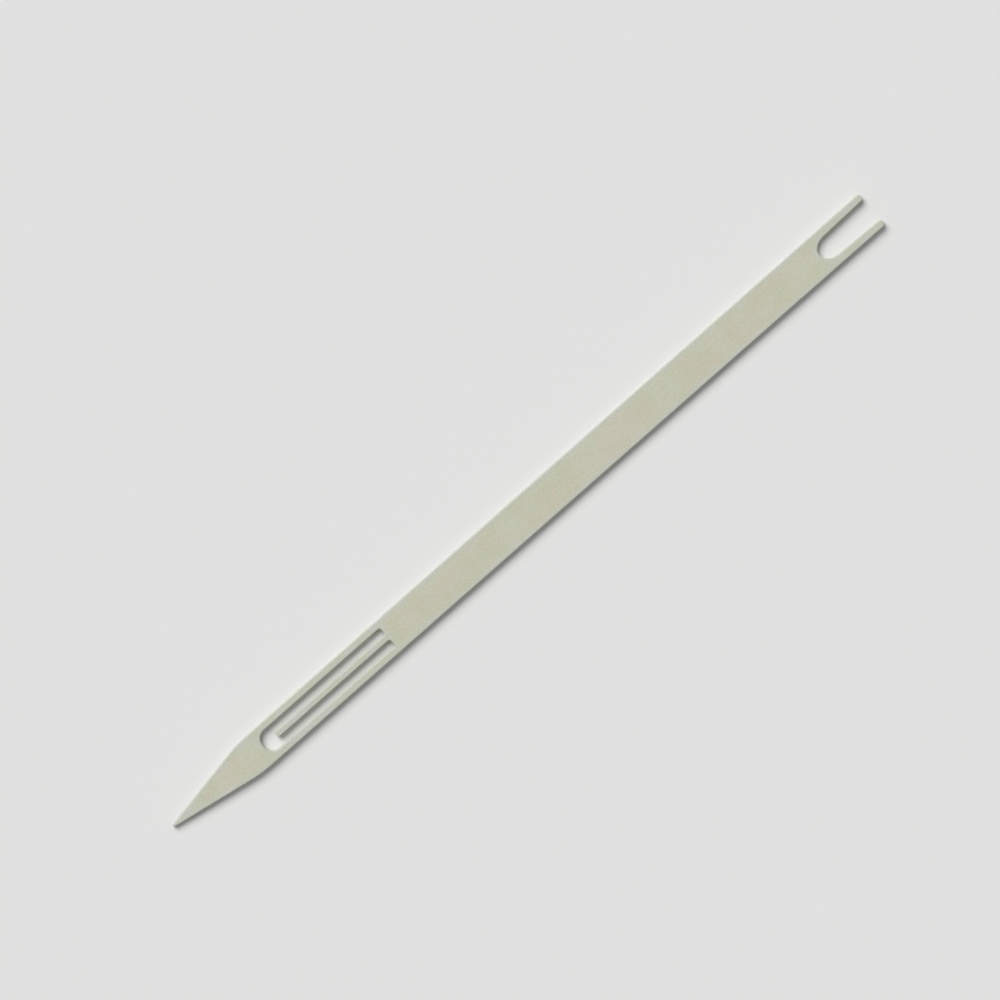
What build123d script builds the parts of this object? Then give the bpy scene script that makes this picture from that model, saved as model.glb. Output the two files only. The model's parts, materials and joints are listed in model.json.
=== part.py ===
from build123d import *
from math import asin, atan2, degrees, hypot, radians, sqrt, tan
import os

# A small netting needle: one flat plate of ivory plastic with a point, an eye, a shank and a fork.
# X runs along the needle towards the fork, Y across it and Z up. The origin is under the middle of
# the needle, on the face that it rests on. Left and right are as seen from the point, looking along
# the needle to the fork. All lengths are in millimetres.

# Plate
needle_length = 225.0
plate_thickness = 2.0
edge_radius = 0.35

# Point, from the tip back to the shoulders
point_length = 24.5
tip_radius = 0.42
shoulder_radius = 33.0

# Width at the shoulders and at the ends of the prongs: the sides are straight from one to the other
shoulder_width = 9.42
fork_width = 10.0

# Eye: the long opening behind the shoulders
eye_setback = 4.7
eye_length = 39.8
rail_width = 1.9
arch_radius = 2.55
slot_corner_radius = 0.55

# Tongue: the finger that stands in the eye and points the same way as the needle
tongue_width = 1.7
tongue_tip_gap = 4.1
tongue_corner_radius = 0.42

# Root of the tongue, where it bends up and down about a line across the needle
root_stub = 0.6
seam_clearance = 0.08

# Fork: two prongs that get a little narrower towards their ends. The gap between them ends in a
# small round throat, and on each side of it a cheek leads over to the straight side of the prong.
fork_depth = 16.9
throat_radius = 2.2
cheek_setback = 1.95
cheek_radius = 4.2
prong_root_width = 2.3
prong_end_width = 1.85
prong_end_radius = 0.8

# Roots of the prongs: how far from the bottom of the throat each prong is divided from the shank
prong_root_setback = 1.4

# Shares of the plate's thickness: how thick the tip is, and the radius of the tongue's heel
tip_thickness_share = 0.6
heel_radius_share = 0.65

# Limits: a corner is rounded by at most this share of the width that it is cut from, an edge by
# at most this share of the smallest corner that it runs round, and a cheek of the fork by what
# fits in this share of the straight run between it and the throat
corner_share = 0.46
edge_share = 0.85
cheek_share = 0.95

# How far a cut runs past the face that it goes through
cut_overrun = 2.0

# Places along the needle
tip_x = -needle_length / 2
shoulder_x = tip_x + point_length
eye_front_x = shoulder_x + eye_setback
tongue_tip_x = eye_front_x + tongue_tip_gap
slot_end_x = eye_front_x + eye_length
heel_x = needle_length / 2
throat_x = heel_x - fork_depth
cheek_x = throat_x + cheek_setback
prong_root_x = throat_x + prong_root_setback

# Widths of the openings
eye_opening_width = shoulder_width - 2 * rail_width
slot_width = (eye_opening_width - tongue_width) / 2
cheek_gap_width = fork_width - 2 * prong_root_width
mouth_width = fork_width - 2 * prong_end_width

# The faces of the point curve gently towards each other, each by this much at the tip
tip_thickness = tip_thickness_share * plate_thickness
nose_drop = (plate_thickness - tip_thickness) / 2
nose_curve_radius = hypot(point_length, nose_drop) ** 2 / (2 * nose_drop)
nose_sweep = 2 * degrees(atan2(nose_drop, point_length)) * (1 + cut_overrun / point_length)

# Rounding that the material has room for
arch_rounding = min(arch_radius, corner_share * eye_opening_width)
slot_rounding = min(slot_corner_radius, corner_share * slot_width)
tongue_rounding = min(tongue_corner_radius, corner_share * tongue_width)
prong_rounding = min(prong_end_radius, corner_share * prong_end_width)
throat_rounding = min(throat_radius, corner_share * cheek_gap_width)
smallest_corner = min(tip_radius, tongue_rounding, prong_rounding, tip_thickness / 2)
edge_rounding = min(edge_radius, edge_share * smallest_corner)

# Pivot of the tongue, at mid thickness: its heel is a round about this line, and the stub that
# the shank keeps of the tongue ends in a hollow round about the same line
heel_radius = heel_radius_share * plate_thickness
socket_radius = heel_radius + seam_clearance
pivot_x = slot_end_x - root_stub - socket_radius
pivot_z = plate_thickness / 2

# Ends of the rails, and the line down the middle of each slot
rail_front_x = eye_front_x + arch_rounding
rail_back_x = pivot_x
slot_middle_y = (tongue_width + slot_width) / 2


def side_angle(radius, run, rise):
    """Angle to the X axis of the straight side that leaves a round of this radius, which is
    centred on the axis, and passes run further along at rise off the axis."""
    return degrees(atan2(rise, run) - asin(radius / hypot(run, rise)))


flank_angle = side_angle(tip_radius, point_length - tip_radius, shoulder_width / 2)

# Angles in the fork's gap, and the room that they leave for its cheeks
cheek_run = cheek_setback - throat_rounding
throat_angle = side_angle(throat_rounding, cheek_run, cheek_gap_width / 2)
prong_angle = degrees(atan2((mouth_width - cheek_gap_width) / 2, heel_x - cheek_x))
straight_run = sqrt(hypot(cheek_run, cheek_gap_width / 2) ** 2 - throat_rounding**2)
cheek_room = cheek_share * straight_run / tan(radians(throat_angle - prong_angle) / 2)
cheek_rounding = min(cheek_radius, cheek_room)

# The whole plate, as it is moulded: its side view is drawn across it and trimmed to the outline
with BuildPart() as plate:
    with BuildSketch(Plane.XZ):
        with BuildLine():
            top = JernArc((shoulder_x, plate_thickness), (-1, 0), nose_curve_radius, nose_sweep)
            bottom = JernArc((shoulder_x, 0), (-1, 0), nose_curve_radius, -nose_sweep)
            Line(top @ 1, bottom @ 1)
            Polyline(top @ 0, (heel_x, plate_thickness), (heel_x, 0), bottom @ 0)
        make_face()
    extrude(amount=fork_width, both=True)
    with BuildSketch() as outline:
        with BuildLine():
            nose = JernArc((tip_x, 0), (0, 1), tip_radius, flank_angle - 90)
            side = FilletPolyline(
                nose @ 1,
                (shoulder_x, shoulder_width / 2),
                (heel_x, fork_width / 2),
                radius=shoulder_radius,
            )
            Line(side @ 1, (heel_x, 0))
            mirror(about=Plane.XZ)
        make_face()
        with BuildLine():
            throat = JernArc((throat_x, 0), (0, 1), throat_rounding, throat_angle - 90)
            prong_side = FilletPolyline(
                throat @ 1,
                (cheek_x, cheek_gap_width / 2),
                (heel_x, mouth_width / 2),
                radius=cheek_rounding,
            )
            Line(prong_side @ 1, (heel_x, 0))
            mirror(about=Plane.XZ)
        make_face(mode=Mode.SUBTRACT)
        fillet(outline.vertices().group_by(Axis.X)[-1], radius=prong_rounding)
    extrude(amount=plate_thickness, mode=Mode.INTERSECT)
    with BuildSketch() as eye:
        with Locations((eye_front_x, 0)):
            Rectangle(eye_length, eye_opening_width, align=(Align.MIN, Align.CENTER))
        fillet(eye.vertices().group_by(Axis.X)[0], radius=arch_rounding)
        with Locations((slot_end_x, 0)):
            Rectangle(
                slot_end_x - tongue_tip_x,
                tongue_width,
                align=(Align.MAX, Align.CENTER),
                mode=Mode.SUBTRACT,
            )
        fillet(eye.vertices().group_by(Axis.X)[-1], radius=slot_rounding)
        tongue_corners = eye.vertices().filter_by(lambda v: abs(v.X - tongue_tip_x) < tongue_rounding)
        fillet(tongue_corners, radius=tongue_rounding)
    extrude(amount=plate_thickness, mode=Mode.SUBTRACT)
    fillet(plate.edges().filter_by(Axis.Z, reverse=True), radius=edge_rounding)


def tongue_zone(radius):
    """The space on the tongue's side of a round cut of this radius about the pivot. It ends
    halfway across the gap at the tongue's tip, and its sides run down the middle of the slots."""
    with BuildPart() as zone:
        with BuildSketch(Plane.XZ):
            with Locations((pivot_x, pivot_z)):
                Circle(radius)
                Rectangle(
                    pivot_x - tongue_tip_x + tongue_tip_gap / 2,
                    plate_thickness + 2 * cut_overrun,
                    align=(Align.MAX, Align.CENTER),
                )
        extrude(amount=slot_middle_y, both=True)
    return zone.part


# Tongue: the finger itself, from its rounded heel to its tip
with BuildPart() as tongue:
    add(plate.part)
    add(tongue_zone(heel_radius), mode=Mode.INTERSECT)

# The rest of the plate is rigid. It is divided where the round front of the eye runs out into the
# rails, level with the tongue's pivot, and at the roots of the prongs, so that each solid is simple
# and both the eye and the gap of the fork stay open.

# Point: from the tip to the round front of the eye
with BuildPart() as point:
    add(plate.part)
    split(bisect_by=Plane.YZ.offset(rail_front_x), keep=Keep.BOTTOM)

# Rails: the two straight bars along the sides of the eye
with BuildPart() as left_rail:
    add(plate.part)
    split(bisect_by=Plane.YZ.offset(rail_front_x), keep=Keep.TOP)
    split(bisect_by=Plane.YZ.offset(rail_back_x), keep=Keep.BOTTOM)
    split(bisect_by=Plane.XZ.offset(-slot_middle_y), keep=Keep.BOTTOM)

with BuildPart() as right_rail:
    mirror(left_rail.part, about=Plane.XZ)

# Shank, with the stub of the tongue at one end and the bottom of the fork's throat at the other
with BuildPart() as shank:
    add(plate.part)
    add(tongue_zone(socket_radius), mode=Mode.SUBTRACT)
    split(bisect_by=Plane.YZ.offset(rail_back_x), keep=Keep.TOP)
    split(bisect_by=Plane.YZ.offset(prong_root_x), keep=Keep.BOTTOM)

# Prongs: the two legs of the fork, which the turns of twine pass between
with BuildPart() as left_prong:
    add(plate.part)
    split(bisect_by=Plane.YZ.offset(prong_root_x), keep=Keep.TOP)
    split(bisect_by=Plane.XZ, keep=Keep.BOTTOM)

with BuildPart() as right_prong:
    mirror(left_prong.part, about=Plane.XZ)

os.makedirs("parts", exist_ok=True)
point.part.label = "point"
export_step(point.part, "parts/point.step")
left_rail.part.label = "left_rail"
export_step(left_rail.part, "parts/left_rail.step")
right_rail.part.label = "right_rail"
export_step(right_rail.part, "parts/right_rail.step")
tongue.part.label = "tongue"
export_step(tongue.part, "parts/tongue.step")
shank.part.label = "shank"
export_step(shank.part, "parts/shank.step")
left_prong.part.label = "left_prong"
export_step(left_prong.part, "parts/left_prong.step")
right_prong.part.label = "right_prong"
export_step(right_prong.part, "parts/right_prong.step")

print(f"pivot of the tongue at x {pivot_x:.3f}, z {pivot_z:.3f}")
print(f"tongue from x {tongue_tip_x:.3f} to {pivot_x + heel_radius:.3f}")
print(f"rails from x {rail_front_x:.3f} to {rail_back_x:.3f}, prongs from x {prong_root_x:.3f}")
print(f"edges rounded by {edge_rounding:.3f}, flank at {flank_angle:.2f} degrees")
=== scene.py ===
# %% [markdown]
# A small netting needle
#
# A netting needle carries the twine while a net is made or mended. This one is a single slim plate of
# ivory plastic. It has a point to pass through the meshes, an eye with a springy tongue that the twine
# is looped over, a plain shank, and a fork at the heel that the twine is brought round.
#
# It is moulded in one go, so the model is made the same way: one outline, one cross-section of its
# edge, and faces that fill what is left. Only then is the tongue parted from the plate, because the
# tongue is the one place where the needle moves.

# %% Load the measured model
import json
import math

import bmesh
import bpy
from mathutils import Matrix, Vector, geometry, kdtree


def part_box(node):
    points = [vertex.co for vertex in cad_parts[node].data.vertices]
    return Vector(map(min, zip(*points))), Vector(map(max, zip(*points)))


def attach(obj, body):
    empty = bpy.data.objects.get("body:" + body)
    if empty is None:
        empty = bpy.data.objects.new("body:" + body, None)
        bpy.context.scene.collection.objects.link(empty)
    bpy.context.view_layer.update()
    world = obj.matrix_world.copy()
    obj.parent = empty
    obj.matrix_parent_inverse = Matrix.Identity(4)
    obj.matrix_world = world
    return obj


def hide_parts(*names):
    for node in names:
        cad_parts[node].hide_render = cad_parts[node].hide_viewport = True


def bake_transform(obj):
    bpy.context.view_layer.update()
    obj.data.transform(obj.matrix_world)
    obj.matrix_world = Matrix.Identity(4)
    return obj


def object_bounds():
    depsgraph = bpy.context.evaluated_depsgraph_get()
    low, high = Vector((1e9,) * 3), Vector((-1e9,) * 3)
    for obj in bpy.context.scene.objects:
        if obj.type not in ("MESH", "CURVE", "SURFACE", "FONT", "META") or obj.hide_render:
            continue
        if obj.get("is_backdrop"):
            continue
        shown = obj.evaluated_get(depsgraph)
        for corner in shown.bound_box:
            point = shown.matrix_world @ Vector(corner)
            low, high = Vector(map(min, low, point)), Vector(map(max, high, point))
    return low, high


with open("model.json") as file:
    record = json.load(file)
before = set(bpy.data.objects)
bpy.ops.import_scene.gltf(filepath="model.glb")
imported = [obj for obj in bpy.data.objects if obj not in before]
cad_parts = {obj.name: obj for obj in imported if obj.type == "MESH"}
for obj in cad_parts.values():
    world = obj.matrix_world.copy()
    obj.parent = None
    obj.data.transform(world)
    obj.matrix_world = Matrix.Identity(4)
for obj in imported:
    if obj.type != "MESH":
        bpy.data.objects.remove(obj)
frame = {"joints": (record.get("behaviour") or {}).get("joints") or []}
measured_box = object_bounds()

# %% [markdown]
# Sizes
#
# The measured model already holds the big sizes, so they are read from it instead of being typed
# again. They are kept in millimetres, as on a maker's drawing, and a mesh is turned into metres only
# when it is finished.

# %% Sizes read from the measured model
MM = 0.001


def solid_box(*names):
    """Lowest and highest corner of some of the measured solids, in millimetres."""
    boxes = [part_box(name) for name in names]
    low = [min(box[0][axis] for box in boxes) / MM for axis in range(3)]
    high = [max(box[1][axis] for box in boxes) / MM for axis in range(3)]
    return Vector(low), Vector(high)


needle_low, needle_high = solid_box("point", "left_prong")
rail_low, _ = solid_box("left_rail")
tongue_low, tongue_high = solid_box("tongue")

tip_x, heel_x = needle_low.x, needle_high.x
thickness = needle_high.z
tongue_tip_x = tongue_low.x
tongue_half_width = tongue_high.y
eye_half_width = rail_low.y
pivot_x = frame["joints"][0]["pos_m"][0] / MM

print(f"needle {heel_x - tip_x:.1f} mm long and {thickness:.2f} mm thick")
print(f"tongue {2 * tongue_half_width:.2f} mm wide, its tip at {tongue_tip_x:.2f}")

# %% [markdown]
# Sizes on the drawing
#
# The rest are the sizes that a maker would write on the drawing: lengths along the needle, widths
# across it, and the round of every corner. The places of the shoulders, the throat and the eye follow
# from them, and are worked out once, so that every later step agrees on them.

# %% Sizes that a maker would write down
point_length = 24.5
shoulder_width = 9.42
fork_width = 10.0
fork_depth = 16.9
cheek_setback = 1.95
prong_root_width = 2.3
prong_end_width = 1.85
eye_length = 39.8
tip_thickness = 1.2

tip_round = 0.42
shoulder_round = 33.0
prong_round = 0.8
throat_round = 2.2
cheek_round = 4.2
arch_round = 2.55
slot_round = 0.55
tongue_round = 0.42

shoulder_x = tip_x + point_length
throat_x = heel_x - fork_depth
cheek_x = throat_x + cheek_setback
eye_front_x = rail_low.x - arch_round
slot_end_x = eye_front_x + eye_length
cheek_gap_width = fork_width - 2 * prong_root_width
mouth_width = fork_width - 2 * prong_end_width

print(f"shoulders at {shoulder_x:.2f}, throat of the fork at {throat_x:.2f}")
print(f"eye from {eye_front_x:.2f} to {slot_end_x:.2f}, {2 * eye_half_width:.2f} mm wide")

# %% [markdown]
# Drawing an outline
#
# Every stretch of the needle's edge is straight or a true arc, because that is how its mould is cut. An
# outline is therefore a short list of corners, each with its own round. A few lines of geometry turn
# the list into closely spaced places along the edge.
#
# Each place also keeps the direction that points straight out of the plastic. With it, a parallel
# line at any distance inside the edge costs nothing, and that is all that a rounded rim needs. A
# bevel modifier could round the rim too, but it struggles where the tip is hardly wider than the
# round, and it knows nothing of the wear that each step of the rim is given further on.

# %% An outline from corners with rounds
ARC_STEP = math.radians(7.5)


def to_the_right(direction):
    """The direction a quarter turn clockwise from this one."""
    return Vector((direction.y, -direction.x))


def rounded_outline(corners, step):
    """Places along a closed outline of (x, y, radius) corners, at most a step apart. Each is a
    point and the direction out of the plastic, which lies to the left of the way round."""
    places = []
    points = [Vector(corner[:2]) for corner in corners]
    arcs = []
    for i, corner in enumerate(corners):
        before = (points[i] - points[i - 1]).normalized()
        after = (points[(i + 1) % len(points)] - points[i]).normalized()
        turn = math.atan2(before.cross(after), before.dot(after))
        radius = math.copysign(corner[2], turn)
        start = points[i] - before * corner[2] * math.tan(abs(turn) / 2)
        arcs.append((start, to_the_right(before), turn, radius))
    for i, (start, outward, turn, radius) in enumerate(arcs):
        centre = start - outward * radius
        pieces = max(1, math.ceil(abs(turn) / ARC_STEP), math.ceil(abs(turn * radius) / step))
        if radius == 0:
            pieces = 0
        for k in range(pieces + 1):
            angle = turn * k / max(pieces, 1)
            direction = Vector((
                outward.x * math.cos(angle) - outward.y * math.sin(angle),
                outward.x * math.sin(angle) + outward.y * math.cos(angle),
            ))
            places.append((centre + direction * radius, direction))
        last_point, last_direction = places[-1]
        run = arcs[(i + 1) % len(arcs)][0] - last_point
        count = math.ceil(run.length / step)
        for k in range(1, count):
            places.append((last_point + run * k / count, last_direction))
    return places


def tangent_angle(radius, run, rise):
    """Angle of the straight side that leaves a round of this radius, which is centred on the
    needle's middle line, and passes run further along at rise off that line."""
    return math.atan2(rise, run) - math.asin(radius / math.hypot(run, rise))


# %% [markdown]
# The outer edge
#
# Going round with the plastic on the left hand: the tip, the lower shoulder, the lower prong, the
# throat of the fork, then the upper prong and shoulder. The tip and the throat are rounds between two
# sides that lean together, so their corners are where those sides would meet if they ran on. The
# throat has a cheek on each side, a larger round that leads over to the straight side of the prong.

# %% The outer edge
EDGE_STEP = 1.0

point_angle = tangent_angle(tip_round, point_length - tip_round, shoulder_width / 2)
throat_angle = tangent_angle(throat_round, cheek_setback - throat_round, cheek_gap_width / 2)
sharp_tip_x = tip_x + tip_round - tip_round / math.sin(point_angle)
sharp_throat_x = throat_x + throat_round - throat_round / math.sin(throat_angle)

outer_edge = rounded_outline([
    (sharp_tip_x, 0, tip_round),
    (shoulder_x, -shoulder_width / 2, shoulder_round),
    (heel_x, -fork_width / 2, prong_round),
    (heel_x, -mouth_width / 2, prong_round),
    (cheek_x, -cheek_gap_width / 2, cheek_round),
    (sharp_throat_x, 0, throat_round),
    (cheek_x, cheek_gap_width / 2, cheek_round),
    (heel_x, mouth_width / 2, prong_round),
    (heel_x, fork_width / 2, prong_round),
    (shoulder_x, shoulder_width / 2, shoulder_round),
], EDGE_STEP)

print(f"outer edge: {len(outer_edge)} places")
print(f"sides of the point: {math.degrees(point_angle):.1f} degrees from the middle line")

# %% [markdown]
# The eye and its tongue
#
# The eye is one opening, and the tongue is what it leaves standing in the middle. The places are
# closer together here, because the tongue bends and a bend needs many short steps to look smooth.
# Two of the corners have no round and no turn. They only make sure that there is a place on each side
# of the tongue where it is parted from the plate later on.

# %% The edge of the eye
EYE_STEP = 0.5
ROOT_LAND = 0.9
parting_x = slot_end_x - ROOT_LAND

eye_edge = rounded_outline([
    (eye_front_x, -eye_half_width, arch_round),
    (eye_front_x, eye_half_width, arch_round),
    (slot_end_x, eye_half_width, slot_round),
    (slot_end_x, tongue_half_width, slot_round),
    (parting_x, tongue_half_width, 0),
    (tongue_tip_x, tongue_half_width, tongue_round),
    (tongue_tip_x, -tongue_half_width, tongue_round),
    (parting_x, -tongue_half_width, 0),
    (slot_end_x, -tongue_half_width, slot_round),
    (slot_end_x, -eye_half_width, slot_round),
], EYE_STEP)

print(f"edge of the eye: {len(eye_edge)} places, tongue parted at {parting_x:.2f}")

# %% [markdown]
# The faces
#
# The two faces are flat and parallel, except along the point, where they curve gently towards each
# other so that the tip slips under a knot. That curve is a very large arc which leaves the flat face
# at the shoulders without a break.

# %% Height of the faces along the needle
middle_z = thickness / 2
tip_drop = (thickness - tip_thickness) / 2
nose_radius = math.hypot(point_length, tip_drop) ** 2 / (2 * tip_drop)


def half_thickness(x):
    """How far each face lies from the middle of the plate at this place along the needle."""
    run = max(shoulder_x - x, 0)
    return middle_z - nose_radius + math.sqrt(nose_radius ** 2 - run ** 2)


print(f"faces of the point curve on a radius of {nose_radius:.0f} mm")

# %% [markdown]
# The cross-section of the edge
#
# Seen end on, the edge of a moulded plate isn't a plain half round. Each half of the mould makes a
# small round where the face turns down into the side, and a side that leans by a hair so that the
# plate comes out. Where the two halves meet, at half the thickness, they leave a fine raised line.
#
# The section is a list of steps from the face down to that line. Each says how far it lies inside the
# outline, whether its height is measured from the face or from the middle of the plate, that height,
# and how much it is rubbed in use. Two of the steps only hold the shading: one keeps the face flat
# right up to the round, and one keeps the side flat right up to the parting line.

# %% The cross-section from the face to the mould's parting line
EDGE_ROUND = 0.33
ROUND_STEPS = 8
FLAT_MARGIN = 0.025
SIDE_LEAN = 0.006
PARTING_HEIGHT = 0.025
PARTING_HALF_WIDTH = 0.04
PARTING_CREST_SHARE = 0.25
SIDE_WEAR = 0.15


def edge_section():
    """Steps of (face, inset, measured from, height, wear), from the upper face to the lower."""
    side_inset = PARTING_HEIGHT + SIDE_LEAN
    steps = [(side_inset + EDGE_ROUND + FLAT_MARGIN, "face", 0, 0)]
    for k in range(ROUND_STEPS + 1):
        angle = math.pi / 2 * k / ROUND_STEPS
        inset = side_inset + EDGE_ROUND * (1 - math.sin(angle))
        depth = EDGE_ROUND * (1 - math.cos(angle))
        wear = max(math.sin(2 * angle), SIDE_WEAR * math.sin(angle))
        steps.append((inset, "face", depth, wear))
    steps.append((PARTING_HEIGHT, "middle", PARTING_HALF_WIDTH + FLAT_MARGIN, SIDE_WEAR))
    steps.append((PARTING_HEIGHT, "middle", PARTING_HALF_WIDTH, SIDE_WEAR))
    steps.append((0, "middle", PARTING_HALF_WIDTH * PARTING_CREST_SHARE, SIDE_WEAR))
    upper = [(1, *step) for step in steps]
    lower = [(-1, *step) for step in reversed(steps)]
    return upper + lower


section = edge_section()
print(f"cross-section: {len(section)} steps, round of {EDGE_ROUND} mm on each face")

# %% [markdown]
# From outline to mesh
#
# The cross-section is carried round each outline: one closed row of points for each of its steps, and
# a strip of four-sided faces between each row and the next. The strip is closed by construction, and
# every round has the same number of steps all the way round. A curve object with a bevel could do
# this too, but its rounds swell and pinch where the outline turns tightly.

# %% A strip of faces round an outline
def add_row(mesh, outline, step, wear):
    """A closed row of points, where one step of the cross-section runs round an outline."""
    face, inset, measured_from, height, rubbed = step
    row = []
    for point, outward in outline:
        place = point - outward * inset
        off_middle = half_thickness(place.x) - height if measured_from == "face" else height
        vertex = mesh.verts.new((place.x, place.y, middle_z + face * off_middle))
        vertex[wear] = rubbed
        row.append(vertex)
    return row


def add_strip(mesh, outline, wear):
    """Carries the cross-section round an outline, and gives back its upper and lower row."""
    rows = [add_row(mesh, outline, step, wear) for step in section]
    for upper, lower in zip(rows, rows[1:]):
        for i in range(len(outline)):
            mesh.faces.new((upper[i - 1], upper[i], lower[i], lower[i - 1]))
    return rows[0], rows[-1]


# %% [markdown]
# Points inside a face
#
# What is left between the innermost rows is one large face with a long hole in it. A single face of
# that kind shades badly, so it is filled with small, even triangles. Their points stand at stations
# along the needle. At each station a line across the needle passes through one or more stretches of
# plastic, and each stretch is divided evenly.

# %% Points inside a face
FACE_STEP = 1.0


def stretches(x, loops):
    """The stretches of plastic that a line across the needle at x passes through."""
    crossings = []
    for loop in loops:
        for a, b in zip(loop, loop[1:] + loop[:1]):
            if (a.x > x) != (b.x > x):
                crossings.append(a.y + (b.y - a.y) * (x - a.x) / (b.x - a.x))
    crossings.sort()
    return list(zip(crossings[::2], crossings[1::2]))


def points_inside(loops):
    """Points in the plastic, about a step apart."""
    points = []
    stations = math.ceil((heel_x - tip_x) / FACE_STEP)
    for k in range(stations):
        x = tip_x + (heel_x - tip_x) * (k + 0.5) / stations
        for low, high in stretches(x, loops):
            count = math.floor((high - low) / FACE_STEP)
            points += [Vector((x, low + (high - low) * i / count)) for i in range(1, count)]
    return points


# %% [markdown]
# Filling a face
#
# A Delaunay triangulation joins the rows and the points inside with the roundest triangles that there
# are. It takes the two rows as fixed lines, and one more fixed line across the tongue, where the
# tongue is parted from the plate later on. A triangle that lies in the eye is left out. The
# triangulation tells inside from outside by the way round, so the row of the eye is given reversed.

# %% Fill a face
SAME_PLACE = 1e-4
MERGE_DISTANCE = 1e-6
ONLY_INSIDE = 1


def is_parting_place(place):
    """Whether a place on the edge of the eye is one of the two where the tongue is parted."""
    return abs(place.x - parting_x) < SAME_PLACE and abs(place.y) < tongue_half_width


def fill_face(mesh, outer_row, eye_row, face):
    """Fills the space between the outer edge and the eye with triangles."""
    vertices = outer_row + eye_row
    loops = [[vertex.co.xy for vertex in row] for row in (outer_row, eye_row)]
    for point in points_inside(loops):
        height = middle_z + face * half_thickness(point.x)
        vertices.append(mesh.verts.new((point.x, point.y, height)))
    outer_loop = range(len(outer_row))
    eye_loop = range(len(outer_row), len(outer_row) + len(eye_row))
    across_tongue = tuple(i for i in eye_loop if is_parting_place(vertices[i].co))
    _, _, triangles, sources, _, owners = geometry.delaunay_2d_cdt(
        [vertex.co.xy for vertex in vertices],
        [across_tongue],
        [list(outer_loop), list(reversed(eye_loop))],
        ONLY_INSIDE,
        MERGE_DISTANCE,
    )
    for triangle, owner in zip(triangles, owners):
        if owner == [0]:
            mesh.faces.new([vertices[sources[i][0]] for i in triangle])


# %% [markdown]
# The needle as it comes out of the mould
#
# One strip round the outside, one round the eye, and two faces make the whole needle. The print shows
# that the mesh is closed, and its volume can be set against the measured solids.
#
# Each point then notes two things for the finish. One is where it lies on the needle at rest: the
# grain of the plastic follows it, so it runs on from the plate to the tongue, and stays put in the
# plastic when the tongue bends. The other is how far it lies from the nearest edge.

# %% The whole needle
whole = bmesh.new()
wear = whole.verts.layers.float.new("wear")
rest_place = whole.verts.layers.float_vector.new("rest_place")
edge_distance = whole.verts.layers.float.new("edge_distance")

outer_rows = add_strip(whole, outer_edge, wear)
eye_rows = add_strip(whole, eye_edge, wear)
for face, outer_row, eye_row in zip((1, -1), outer_rows, eye_rows):
    fill_face(whole, outer_row, eye_row, face)
bmesh.ops.recalc_face_normals(whole, faces=whole.faces)

edge_places = kdtree.KDTree(len(outer_edge) + len(eye_edge))
for index, (point, _) in enumerate(outer_edge + eye_edge):
    edge_places.insert(point.to_3d(), index)
edge_places.balance()
for vertex in whole.verts:
    vertex[rest_place] = vertex.co
    _, _, distance = edge_places.find((vertex.co.x, vertex.co.y, 0))
    vertex[edge_distance] = distance

open_edges = sum(1 for edge in whole.edges if len(edge.link_faces) != 2)
print(f"needle: {len(whole.faces)} faces, {open_edges} open edges, {whole.calc_volume():.0f} cubic mm")

# %% [markdown]
# Parting the tongue
#
# The tongue bends and the rest of the plate doesn't, so they become two pieces. They are parted
# straight across the tongue, just in front of its root, where both sides of the cut have the same
# cross-section. Each gets a flat end there. The edges of that end are kept sharp, so that it doesn't
# pull at the shading of the faces, and the cut can't be seen.

# %% Part the tongue from the plate
slot_middle = (tongue_half_width + eye_half_width) / 2
gap_middle = (eye_front_x + tongue_tip_x) / 2


def is_tongue(face):
    """Whether a face lies on the tongue's side of the parting."""
    middle = face.calc_center_median()
    return gap_middle < middle.x < parting_x and abs(middle.y) < slot_middle


def close_cut(mesh):
    """Closes the open end that the parting left."""
    rim = [edge for edge in mesh.edges if len(edge.link_faces) == 1]
    end = bmesh.ops.contextual_create(mesh, geom=rim)["faces"]
    bmesh.ops.triangulate(mesh, faces=end)
    for edge in rim:
        edge.smooth = False


def make_piece(name, unwanted):
    """A piece of the needle in metres, without its unwanted faces."""
    mesh = whole.copy()
    bmesh.ops.delete(mesh, geom=[face for face in mesh.faces if unwanted(face)], context="FACES")
    close_cut(mesh)
    bmesh.ops.recalc_face_normals(mesh, faces=mesh.faces)
    for face in mesh.faces:
        face.smooth = True
    bmesh.ops.scale(mesh, vec=(MM, MM, MM), verts=mesh.verts)
    data = bpy.data.meshes.new(name)
    mesh.to_mesh(data)
    mesh.free()
    piece = bpy.data.objects.new(name, data)
    bpy.context.scene.collection.objects.link(piece)
    print(f"{name}: {len(data.polygons)} faces")
    return piece


plate = make_piece("moulded_plate", is_tongue)
tongue = make_piece("springy_tongue", lambda face: not is_tongue(face))
whole.free()

# %% [markdown]
# How the plate moves, and where the tongue would bend
#
# The plate stands for all the rigid solids and moves with them. The tongue is a springy finger, held at
# its root, that would bend hardly at all there and fully at the tip. Here it stays as it is, and only
# the places where such a bend would start and end are worked out: a little behind the parting, so that
# the curve would already be under way there, and past the tip, so that the tongue would never curve
# back.

# %% Let the plate ride on the measured blade
BEND_START_SHARE = -0.133
BEND_END_SHARE = 1.2


def along_tongue(share):
    """A place in metres at this share of the way from the pivot to the tongue's tip."""
    return ((pivot_x + share * (tongue_tip_x - pivot_x)) * MM, 0, middle_z * MM)


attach(plate, "blade")
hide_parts("point", "left_rail", "right_rail", "shank", "left_prong", "right_prong")
along_tongue(BEND_START_SHARE)
along_tongue(BEND_END_SHARE)
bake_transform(tongue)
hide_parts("tongue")
print(f"tongue bends from x {along_tongue(BEND_START_SHARE)[0] / MM:.1f} mm towards its tip")

# %% [markdown]
# Writing a finish as sums
#
# A finish is a web of small nodes. Placing and linking them one by one hides what they work out, so
# two small classes let it be written as plain sums. The first is a Wire, which is what leaves a node.
# Sums of wires add the nodes that do them: Math nodes for single values, and Vector Math nodes for
# places and colours, because a Math node would turn a colour grey.

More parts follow.
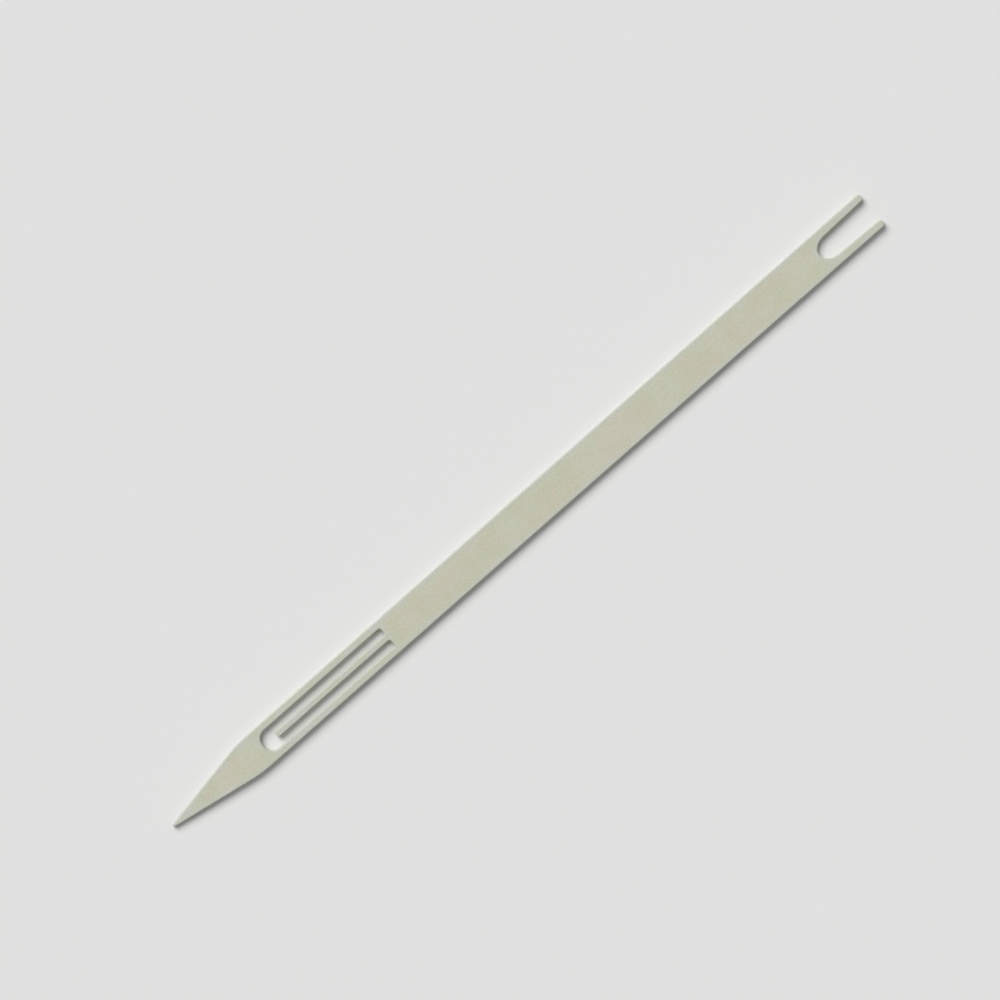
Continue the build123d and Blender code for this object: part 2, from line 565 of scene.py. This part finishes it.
# %% Wires
class Wire:
    """The output of a node. Sums of wires add the nodes that work them out."""

    def __init__(self, recipe, socket):
        self.recipe = recipe
        self.socket = socket

    def sum(self, operation, first, second):
        """A node that works out one operation on two wires, or on a wire and a number."""
        single = all(
            side.socket.type == "VALUE" if isinstance(side, Wire) else isinstance(side, (int, float))
            for side in (first, second)
        )
        kind = "Math" if single else "VectorMath"
        return self.recipe.node(kind, {"operation": operation}, {0: first, 1: second})

    def __add__(self, other):
        return self.sum("ADD", self, other)

    __radd__ = __add__

    def __sub__(self, other):
        return self.sum("SUBTRACT", self, other)

    def __rsub__(self, other):
        return self.sum("SUBTRACT", other, self)

    def __mul__(self, other):
        return self.sum("MULTIPLY", self, other)

    __rmul__ = __mul__

    def output(self, name):
        """Another output of the same node."""
        return Wire(self.recipe, self.socket.node.outputs[name])


# %% [markdown]
# Adding any other node
#
# The second class is a Recipe, the whole web of one material. Every node that isn't a sum comes from
# one of its methods, which takes the node's type, its settings, and what goes into it. The settings
# come first, because some of them change which sockets a node has. What goes in is a wire from
# another node, or a plain number or colour.

# %% Recipes
class Recipe:
    """The web of nodes of one material, or of the world."""

    def __init__(self, owner):
        owner.use_nodes = True
        self.tree = owner.node_tree

    def node(self, kind, settings, inputs, output=0):
        """Adds a node with its settings and inputs, and gives back one of its outputs."""
        made = self.tree.nodes.new("ShaderNode" + kind)
        for name, value in settings.items():
            setattr(made, name, value)
        for name, value in inputs.items():
            self.feed(made.inputs[name], value)
        return Wire(self, made.outputs[output])

    def feed(self, socket, value):
        """Links a wire to a socket, or sets the socket to a value."""
        if isinstance(value, Wire):
            self.tree.links.new(value.socket, socket)
        elif socket.type == "RGBA":
            socket.default_value = (*value, 1)
        elif socket.type == "VECTOR" and isinstance(value, (int, float)):
            socket.default_value = (value, value, value)
        else:
            socket.default_value = value

    def into(self, node_name, inputs):
        """Feeds the sockets of a node that the tree starts with."""
        for name, value in inputs.items():
            self.feed(self.tree.nodes[node_name].inputs[name], value)


# %% [markdown]
# Three helpers for a finish
#
# Nearly all of a finish can be made from clouds, a smooth rise, and a blend of two colours. Clouds say
# where something is, a rise says how sharply it begins, and a blend puts it there. The blend is a Mix
# node, which has sockets for every kind of value under the same names, so those for colours are told
# apart by their numbers.

# %% Clouds, rises and blends
MIX_SHARE, MIX_FIRST, MIX_SECOND, MIX_RESULT = 0, 6, 7, 2


def clouds(place, size, detail=2, stretch=1):
    """Soft irregular patches of about this size in millimetres, from 0 to 1, mostly near 0.5. To
    stretch them along the needle, the places that they are given are squeezed."""
    if stretch != 1:
        place = place * (1 / stretch, 1, 1)
    return place.recipe.node("TexNoise", {}, {"Vector": place, "Scale": 1 / size, "Detail": detail})


def rise(value, start, end):
    """0 up to the start, 1 from the end on, and a smooth rise between them."""
    settings = {"interpolation_type": "SMOOTHSTEP"}
    return value.recipe.node("MapRange", settings, {"Value": value, "From Min": start, "From Max": end})


def blend(share, first, second):
    """A colour that goes from the first to the second as the share goes from 0 to 1."""
    inputs = {MIX_SHARE: share, MIX_FIRST: first, MIX_SECOND: second}
    return share.recipe.node("Mix", {"data_type": "RGBA"}, inputs, output=MIX_RESULT)


# %% [markdown]
# Ivory plastic: its colour
#
# The needle is moulded in an opaque ivory plastic, a warm off-white. It looks even, but it isn't one
# flat colour. The pigment is spread unevenly, so the ivory is a little rosy in one place and a little
# greenish in the next, in patches a few millimetres to a few centimetres across. Along an edge, where
# light gets into the plastic from the side, it looks paler. That glow is painted light: it is painted
# into the colour as a paler, greyer ivory towards the edges.
#
# The plastic has also yellowed here and there. Yellowed plastic sends back a little less light, most
# of all less blue, so yellowing is a tint that the colour is multiplied by.
#
# One flat colour with a noise over it would be quicker, but it would vary only from light to dark, and
# the real patches differ in hue. So two ivories are blended instead, and the clouds say where.

# %% Colour of the ivory plastic
ROSY_IVORY = (0.559, 0.532, 0.424)
GREENISH_IVORY = (0.530, 0.547, 0.416)
# Painted light: a paler, greyer ivory painted along the edges for the glow of light coming in from the
# side.
PAINTED_GLOW_IVORY = (0.527, 0.546, 0.462)
FRESH_TINT = (1.013, 1.013, 1.046)
YELLOWED_TINT = (0.987, 0.987, 0.954)

BROAD_PATCH = 20
SMALL_PATCH = 3
PATCH_CHANGE = (0.4, 0.6)
YELLOWED_PATCH = 4.5
YELLOWED_CHANGE = (0.35, 0.65)
PAINTED_GLOW_FADE = (0.4, 2.2)

ivory_plastic = bpy.data.materials.new("ivory_plastic")
ivory = Recipe(ivory_plastic)
place = ivory.node("Attribute", {"attribute_name": "rest_place"}, {}, output="Vector")
from_edge = ivory.node("Attribute", {"attribute_name": "edge_distance"}, {}, output="Fac")

patches = 0.5 * clouds(place, BROAD_PATCH) + 0.5 * clouds(place, SMALL_PATCH)
face_tone = blend(rise(patches, *PATCH_CHANGE), GREENISH_IVORY, ROSY_IVORY)
# Painted light: the colour is blended towards the painted glow ivory within about two millimetres of an
# edge.
painted_edge_glow = 1 - rise(from_edge, *PAINTED_GLOW_FADE)
tone = blend(painted_edge_glow, face_tone, PAINTED_GLOW_IVORY)

yellowing = rise(clouds(place, YELLOWED_PATCH), *YELLOWED_CHANGE)
tint = blend(yellowing, FRESH_TINT, YELLOWED_TINT)
print("ivory plastic: rosy and greenish patches, paler edges and yellowing")

# %% [markdown]
# Ivory plastic: its mottling
#
# Finer than the patches are three things that only make the plastic lighter or darker. The melt ran
# along the mould, which leaves faint streaks in that direction. There is a fine mottling between them.
# And here and there a dark speck was caught, such as a grain of pigment.
#
# Each is one pattern, added at the size and the strength that it has on the real thing. Streaks are
# clouds that are stretched a great deal. Specks come from a Voronoi texture, which says how far it
# is to the middle of the nearest cell, and a speck is whatever lies close to such a middle.

# %% Mottling, streaks and specks
MOTTLE_SIZE = 0.5
MOTTLE_STRENGTH = 0.38
STREAK_WIDTH = 0.7
STREAK_STRETCH = 60
STREAK_STRENGTH = 0.08
SPECK_SPACING = 2.5
SPECK_EDGE = (0.02, 0.06)
SPECK_STRENGTH = 0.14

mottling = clouds(place, MOTTLE_SIZE)
streaks = clouds(place, STREAK_WIDTH, stretch=STREAK_STRETCH)
cells = {"Vector": place, "Scale": 1 / SPECK_SPACING}
specks = 1 - rise(ivory.node("TexVoronoi", {}, cells, output="Distance"), *SPECK_EDGE)

uneven = MOTTLE_STRENGTH * (mottling - 0.5) + STREAK_STRENGTH * (streaks - 0.5)
plain_colour = tone * tint * (1 + uneven - SPECK_STRENGTH * specks)
print(f"mottling of {MOTTLE_SIZE} mm, streaks of {STREAK_WIDTH} mm, a speck every {SPECK_SPACING} mm")

# %% [markdown]
# Ivory plastic: where it is worn
#
# A needle is used hard. Its rims are rubbed pale and smooth, most of all at the places that do the
# work: the point, which is pushed through the meshes, the eye and the tongue, which the twine is
# looped over, and the throat of the fork, which it is brought round.
#
# The rims know how exposed they are from the cross-section. Worn plastic is never worn evenly, so a
# cloudy pattern breaks it up.

# %% Wear of the ivory plastic
RUN_OUT = 3
THROAT_RUN_OUT = 8
WEAR_EVERYWHERE = 0.4
WEAR_WHERE_WORKED = 0.6
RUBBED_PATCH = 2.5
RUBBED_CHANGE = (0.3, 0.6)

exposed = ivory.node("Attribute", {"attribute_name": "wear"}, {}, output="Fac")
along = ivory.node("SeparateXYZ", {}, {"Vector": place}, output="X")
across = along.output("Y")

at_point = 1 - rise(along, tip_x, shoulder_x)
before_eye = rise(along, eye_front_x - RUN_OUT, eye_front_x)
behind_eye = rise(along, slot_end_x, slot_end_x + RUN_OUT)
before_throat = rise(along, throat_x - RUN_OUT, throat_x)
behind_throat = rise(along, throat_x + RUN_OUT, throat_x + THROAT_RUN_OUT)
worked = at_point + before_eye * (1 - behind_eye) + before_throat * (1 - behind_throat)
uneven_wear = rise(clouds(place, RUBBED_PATCH), *RUBBED_CHANGE)
rubbed = exposed * (WEAR_EVERYWHERE + WEAR_WHERE_WORKED * worked) * uneven_wear
print("rims rubbed most at the point, the eye and the throat")

# %% [markdown]
# Ivory plastic: where the twine lies
#
# The turns of twine lie along both faces, from the tongue to the fork, and burnish the middle of the
# shank. They slide lengthwise, so what they leave is long and narrow. How far a place lies from the
# middle line is squared here, which makes both sides count alike.

# %% The burnished middle of the shank
TWINE_RUN_IN = 12
TWINE_BAND_SQUARED = (2.5, 12)
BURNISH_WIDTH = 1.4
BURNISH_STRETCH = 12
BURNISH_CHANGE = (0.35, 0.6)

on_shank = rise(along, slot_end_x, slot_end_x + TWINE_RUN_IN)
twine_lies = on_shank * (1 - rise(across * across, *TWINE_BAND_SQUARED))
burnish_marks = clouds(place, BURNISH_WIDTH, stretch=BURNISH_STRETCH)
burnished = twine_lies * rise(burnish_marks, *BURNISH_CHANGE)
print("middle of the shank burnished by the twine")

# %% [markdown]
# Ivory plastic: fine scratches
#
# Table tops and other tools leave hairlines on the faces, mostly lengthwise, straight, and thinner
# than a tenth of a millimetre. A cloudy pattern can't draw a straight line. A Voronoi texture can: it
# divides the face into long cells, and says where the middle of each cell is. What lies within a hair
# of that middle sideways, and within a few millimetres of it lengthwise, is a scratch.

# %% Scratches on the ivory plastic
LINE_REACH = 0.35
CLEAR_OF_EDGE = (0.2, 0.5)


def hairlines(turn_degrees, cell_length, cell_width, line_width):
    """One short straight line in each cell, turned by a few degrees from the needle's length."""
    turn = {"Vector": place, "Angle": math.radians(turn_degrees)}
    turned = ivory.node("VectorRotate", {"rotation_type": "Z_AXIS"}, turn)
    cell = (cell_length, cell_width, 1)
    in_cells = turned * tuple(1 / side for side in cell)
    flat = {"voronoi_dimensions": "2D"}
    middle = ivory.node("TexVoronoi", flat, {"Vector": in_cells, "Scale": 1}, output="Position")
    lengthwise = ivory.node("SeparateXYZ", {}, {"Vector": (in_cells - middle) * cell}, output="X")
    sideways = lengthwise.output("Y")
    near = 1 - rise(lengthwise * lengthwise, 0, (LINE_REACH * cell_length) ** 2)
    return near * (1 - rise(sideways * sideways, 0, line_width ** 2))


steep_lines = hairlines(turn_degrees=-4, cell_length=9, cell_width=3.1, line_width=0.04)
level_lines = hairlines(turn_degrees=2.5, cell_length=14, cell_width=2.3, line_width=0.05)
scratches = rise(from_edge, *CLEAR_OF_EDGE) * (level_lines + steep_lines)
print("scratches: two sets of hairlines, slightly crossed")

# %% [markdown]
# Ivory plastic: its surface
#
# Under a magnifying glass the faces have a fine even grain, which the mould gives them so that the
# needle isn't slippery. Where it is rubbed, the grain is worn down. Thin moulded plates are also never
# quite flat: they are wavy by about a hundredth of a millimetre, which shows only when light skims
# over them.
#
# The heights are summed in millimetres, as they would be measured, and one Bump node turns them into
# shading. It comes to nothing more than shading: what can be felt, such as the parting line, is mesh.

# %% Surface of the ivory plastic
GRAIN_SIZE = 0.16
GRAIN_HEIGHT = 0.02
GRAIN_WORN_DOWN = 0.8
WAVE_SIZE = 7
WAVE_STRETCH = 2
WAVE_HEIGHT = 0.04
SCRATCH_DEPTH = 0.004

grain = clouds(place, GRAIN_SIZE, detail=3) * (1 - GRAIN_WORN_DOWN * rubbed)
waves = clouds(place, WAVE_SIZE, detail=1, stretch=WAVE_STRETCH)
height = GRAIN_HEIGHT * grain + WAVE_HEIGHT * waves - SCRATCH_DEPTH * scratches
normal = ivory.node("Bump", {}, {"Height": height, "Distance": MM})
print(f"grain of {GRAIN_SIZE} mm and waves of {WAVE_SIZE} mm")

# %% [markdown]
# Ivory plastic: its gloss
#
# The grain makes the plastic matte, a little more in some places than in others. Rubbed rims and the
# burnished shank shine a little more, and a scratch is dull. Rubbed and scratched plastic is also
# paler, because its skin is broken up.
#
# Only the colour, the roughness and the normal vary over the surface. What is the same everywhere,
# such as how strongly the plastic bends light, is a plain number on the shader.

# %% The finished ivory plastic
WORN_IVORY = (0.590, 0.592, 0.505)
RUBBED_PALENESS = 0.6
SCRATCH_PALENESS = 0.25
PLAIN_ROUGHNESS = 0.5
GLOSS_PATCH = 6
GLOSS_VARIATION = 0.16
RUBBED_GLOSS = 0.14
BURNISHED_GLOSS = 0.08
SCRATCH_DULLNESS = 0.08

paleness = RUBBED_PALENESS * rubbed + SCRATCH_PALENESS * scratches
uneven_gloss = GLOSS_VARIATION * (clouds(place, GLOSS_PATCH) - 0.5)
polish = RUBBED_GLOSS * rubbed + BURNISHED_GLOSS * burnished
ivory.into("Principled BSDF", {
    "Base Color": blend(paleness, plain_colour, WORN_IVORY),
    "Roughness": PLAIN_ROUGHNESS + uneven_gloss - polish + SCRATCH_DULLNESS * scratches,
    "Normal": normal,
    "IOR": 1.5,
})
for piece in (plate, tongue):
    piece.data.materials.append(ivory_plastic)
print(f"ivory plastic: {len(ivory.tree.nodes)} nodes")

# %% [markdown]
# The floor
#
# The needle lies on a plain pale surface, which shows its narrow shadow. A large flat sheet is all that
# it takes. It is a little darker than white, so that it doesn't burn out, and it has no gloss, so
# that it looks the same from every side.

# %% A plain pale floor
FLOOR_SIZE = 8.0
PALE = (0.8, 0.8, 0.795)

floor_mesh = bmesh.new()
bmesh.ops.create_grid(floor_mesh, x_segments=1, y_segments=1, size=FLOOR_SIZE / 2)
floor_data = bpy.data.meshes.new("floor")
floor_mesh.to_mesh(floor_data)
floor_mesh.free()
floor = bpy.data.objects.new("floor", floor_data)
bpy.context.scene.collection.objects.link(floor)
floor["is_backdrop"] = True

pale_surface = bpy.data.materials.new("pale_surface")
Recipe(pale_surface).into("Principled BSDF", {"Base Color": PALE, "Specular IOR Level": 0})
floor_data.materials.append(pale_surface)
print(f"floor: {FLOOR_SIZE:.0f} m wide")

# %% [markdown]
# The light
#
# One broad soft lamp shines from above, across the needle, so that the shadow falls along one of its
# sides only. A softbox near the table would light the floor unevenly and burn it out on one side. A
# very large one far away lights it all alike, and that is what a sun lamp with a wide angle is. The
# angle sets how soft the shadow's edge is, and the height of the lamp sets how wide the shadow is.
#
# The room around it adds a little light from all sides. To the camera and in reflections it is as pale
# as the floor, so that the far edge of the floor doesn't show.

# %% One soft lamp and a pale room
LAMP_HEIGHT = math.radians(50)
LAMP_WIDTH = math.radians(43)
LAMP_STRENGTH = 2.62
ROOM_STRENGTH = 0.3
ROOM_SEEN_STRENGTH = 0.937

lamp_data = bpy.data.lights.new("soft_lamp", "SUN")
lamp_data.angle = LAMP_WIDTH
lamp_data.energy = LAMP_STRENGTH
lamp = bpy.data.objects.new("soft_lamp", lamp_data)
lamp.location = (0, math.cos(LAMP_HEIGHT), math.sin(LAMP_HEIGHT))
lamp.rotation_euler = (LAMP_HEIGHT - math.pi / 2, 0, 0)
bpy.context.scene.collection.objects.link(lamp)

pale_room = bpy.data.worlds.new("pale_room")
bpy.context.scene.world = pale_room
room = Recipe(pale_room)
camera_ray = room.node("LightPath", {}, {}, output="Is Camera Ray")
seen = camera_ray + camera_ray.output("Is Glossy Ray") + camera_ray.output("Is Transmission Ray")
lighting = room.node("Background", {}, {"Color": (1, 1, 1), "Strength": ROOM_STRENGTH})
backdrop = room.node("Background", {}, {"Color": PALE, "Strength": ROOM_SEEN_STRENGTH})
room.into("World Output", {"Surface": room.node("MixShader", {}, {0: seen, 1: lighting, 2: backdrop})})
print(f"lamp {math.degrees(LAMP_HEIGHT):.0f} degrees high and {math.degrees(LAMP_WIDTH):.0f} wide")

# %% [markdown]
# The camera
#
# The needle is seen from straight above and from far away, with a long lens, so that its two edges
# look parallel. It lies across the picture from the lower left to the upper right. The camera's
# distance follows from how wide a stretch of the table the picture takes in.

# %% Camera straight above the needle
LENS = 200.0
SENSOR = 36.0
PICTURE_WIDTH = 241.1
PICTURE_MIDDLE = (-1.28, 6.81)
NEEDLE_SLANT = math.radians(41.44)

camera_data = bpy.data.cameras.new("camera")
camera_data.lens = LENS
camera_data.sensor_width = SENSOR
camera = bpy.data.objects.new("camera", camera_data)
camera_height = PICTURE_WIDTH * LENS / SENSOR + thickness
camera.location = Vector((*PICTURE_MIDDLE, camera_height)) * MM
camera.rotation_euler = (0, 0, -NEEDLE_SLANT)
bpy.context.scene.collection.objects.link(camera)
bpy.context.scene.camera = camera
bpy.context.scene.view_settings.view_transform = "Standard"
print(f"camera {camera_height:.0f} mm above the floor")

# %% [markdown]
# Checking the size
#
# The finish and the round edges may not change the size that was measured.

# %% Compare the sizes
finished_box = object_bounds()
for axis, name in enumerate("xyz"):
    spans = [(box[1][axis] - box[0][axis]) / MM for box in (measured_box, finished_box)]
    print(f"{name}: measured {spans[0]:.2f} mm, finished {spans[1]:.2f} mm")
